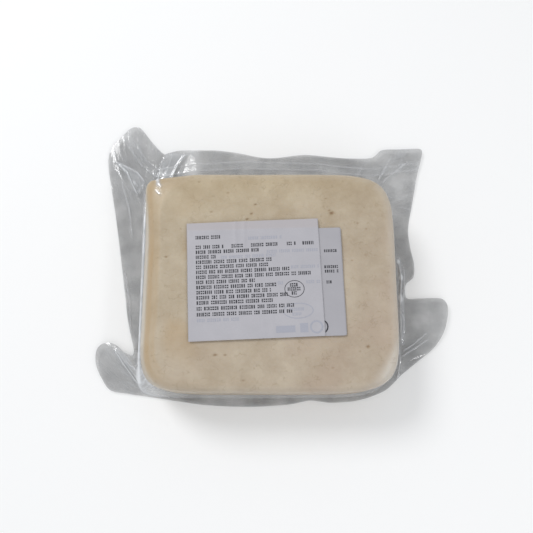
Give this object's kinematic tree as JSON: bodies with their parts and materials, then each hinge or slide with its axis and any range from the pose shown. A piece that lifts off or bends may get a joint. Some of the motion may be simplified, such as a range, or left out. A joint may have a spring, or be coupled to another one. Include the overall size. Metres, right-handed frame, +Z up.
{
  "type": "vacuum-packed block of coalho cheese",
  "caption": "Block of pale grilling cheese, vacuum-packed in a clear pouch with flared corners and plain paper labels on its top face.",
  "frame": {"origin": "centre of the bounding box at its bottom, on the flat back of the pouch", "axes": "+Z up out of the labelled face, +X along the pouch's longer side, +Y towards the sealed mouth"},
  "size_m": [0.2394, 0.2016, 0.0417],
  "materials": {
    "cheese": "moist pressed curd, faintly glossy where the film clings to it",
    "clear_film": "clear glossy barrier film",
    "label_paper": "smooth white label paper"
  },
  "bodies": {
    "root": {"cheese_block": "cheese", "back_film": "clear_film", "front_film": "clear_film", "rear_label": "label_paper", "front_label": "label_paper"}
  },
  "joints": []
}
